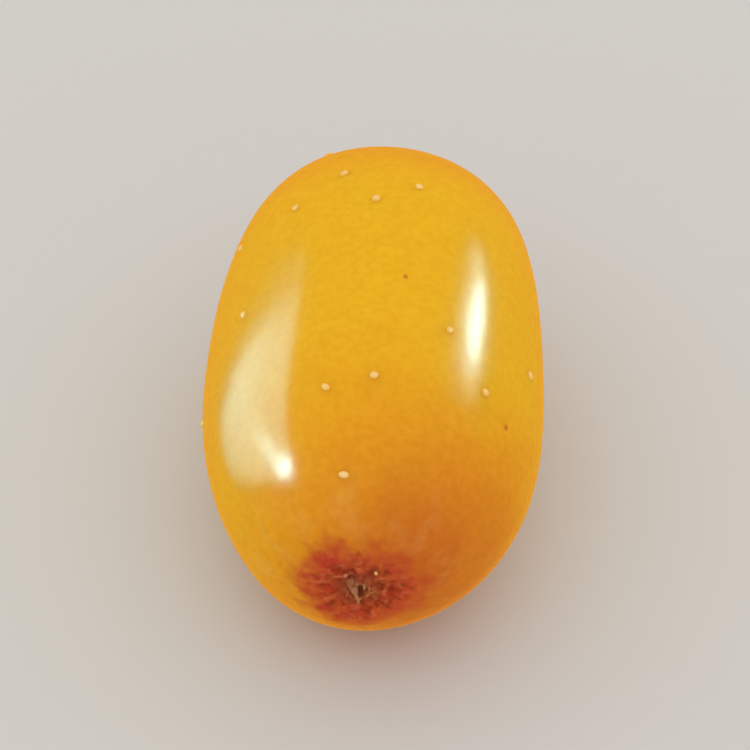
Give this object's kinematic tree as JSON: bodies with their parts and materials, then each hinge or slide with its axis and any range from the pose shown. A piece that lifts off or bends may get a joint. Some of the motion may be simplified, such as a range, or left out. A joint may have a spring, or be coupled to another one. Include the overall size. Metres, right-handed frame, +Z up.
{
  "type": "sea buckthorn berry",
  "caption": "Frozen sea buckthorn berry, picked and lying on its side: a plump barrel with a dried calyx spot at one end and a torn stalk scar at the other.",
  "frame": {"origin": "bottom centre of the bounding box, on the small flat face that the berry rests on", "axes": "+Y along the berry from its calyx end to its stalk end, +Z up as it lies, +X across it"},
  "size_m": [0.0078, 0.012, 0.0075],
  "materials": {
    "berry_skin": "satin",
    "dried_calyx": "matte",
    "pale_scale": "satin"
  },
  "bodies": {
    "root": {"berry": "berry_skin"}
  },
  "joints": []
}
